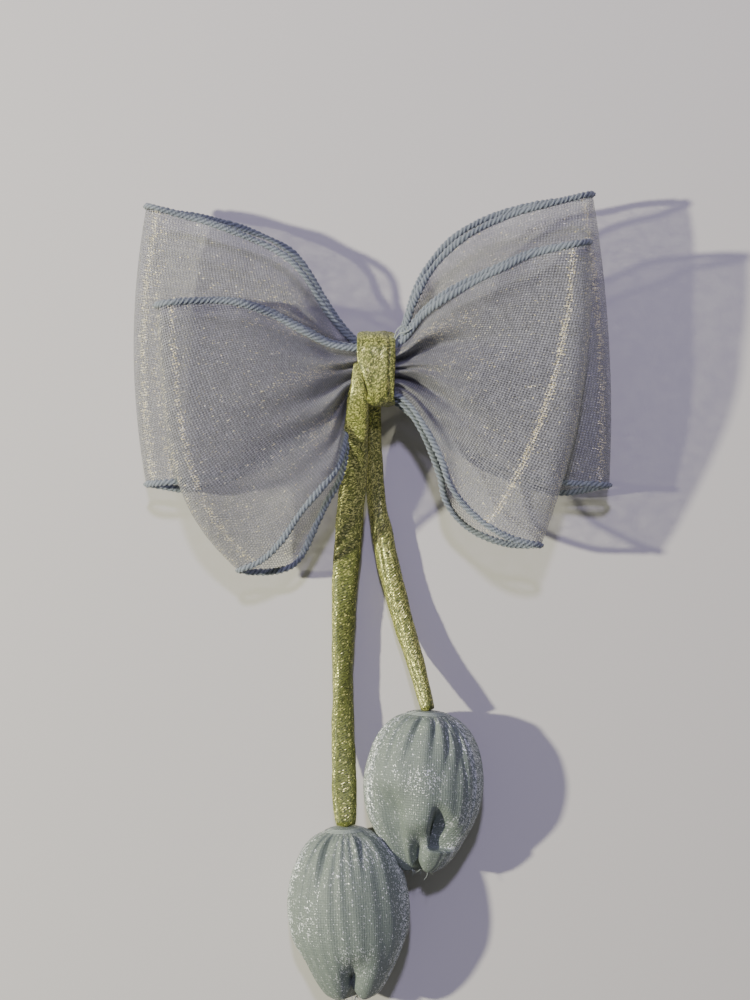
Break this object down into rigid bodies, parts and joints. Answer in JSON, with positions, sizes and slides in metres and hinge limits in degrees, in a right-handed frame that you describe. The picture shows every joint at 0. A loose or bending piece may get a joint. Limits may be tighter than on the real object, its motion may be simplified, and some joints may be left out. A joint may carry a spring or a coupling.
{
  "type": "organza bow clip with tulip pendants",
  "caption": "Sheer double-loop ribbon bow with overlocked edges, a satin centre band, padded tulip pendants on soft satin stems, and a metal spring clip behind.",
  "frame": {"origin": "the middle of the clip's underside, on the surface that the bow lies on", "axes": "+Z out of the bow's face, +Y towards the bow's top, away from the pendants, +X to the bow's right as seen from its face"},
  "size_m": [0.1187, 0.201, 0.031],
  "materials": {
    "organza": "satin",
    "hem_thread": "satin",
    "green_satin": "satin",
    "bud_satin": "satin",
    "stuffing": "matte",
    "sewing_thread": "matte",
    "clip_steel": "satin",
    "spring_steel": "satin",
    "pin_steel": "gloss"
  },
  "bodies": {
    "bow": {"back_ribbon": "organza", "front_ribbon": "organza", "back_upper_hem": "hem_thread", "back_lower_hem": "hem_thread", "front_upper_hem": "hem_thread", "front_lower_hem": "hem_thread", "gathering_thread": "sewing_thread", "centre_band": "green_satin", "clip_plate": "clip_steel", "clip_hinge_pin": "pin_steel", "clip_tension_bar": "spring_steel", "clip_catch": "spring_steel", "clip_catch_rivet": "pin_steel"},
    "clip_arm": {"clip_arm": "clip_steel"},
    "left_stem": {"left_stem": "green_satin"},
    "left_bud": {"left_bud_cover": "bud_satin", "left_bud_stuffing": "stuffing", "left_bud_neck_thread": "sewing_thread", "left_bud_tip_stitch": "sewing_thread"},
    "right_stem": {"right_stem": "green_satin"},
    "right_bud": {"right_bud_cover": "bud_satin", "right_bud_stuffing": "stuffing", "right_bud_neck_thread": "sewing_thread", "right_bud_tip_stitch": "sewing_thread"}
  },
  "joints": [
    {"name": "clip_arm_hinge", "type": "hinge", "parent": "bow", "child": "clip_arm", "pos_m": [-0.0232, 0, 0.0014], "axis": [0, 1, 0], "range_deg": [0, 70]},
    {"name": "left_stem_lift", "type": "hinge", "parent": "bow", "child": "left_stem", "pos_m": [-0.0045, -0.0166, 0.014], "axis": [-1, 0, 0], "range_deg": [0, 75]},
    {"name": "right_stem_swing", "type": "hinge", "parent": "bow", "child": "right_stem", "pos_m": [-0.0012, -0.016, 0.007], "axis": [0, 0, 1], "range_deg": [0, 25]},
    {"name": "left_bud_swing", "type": "hinge", "parent": "left_stem", "child": "left_bud", "pos_m": [-0.0076, -0.1182, 0.0104], "axis": [0, 0, 1], "range_deg": [-30, 0]},
    {"name": "right_bud_swing", "type": "hinge", "parent": "right_stem", "child": "right_bud", "pos_m": [0.013, -0.0892, 0.0104], "axis": [0, 0, 1], "range_deg": [0, 30]}
  ]
}
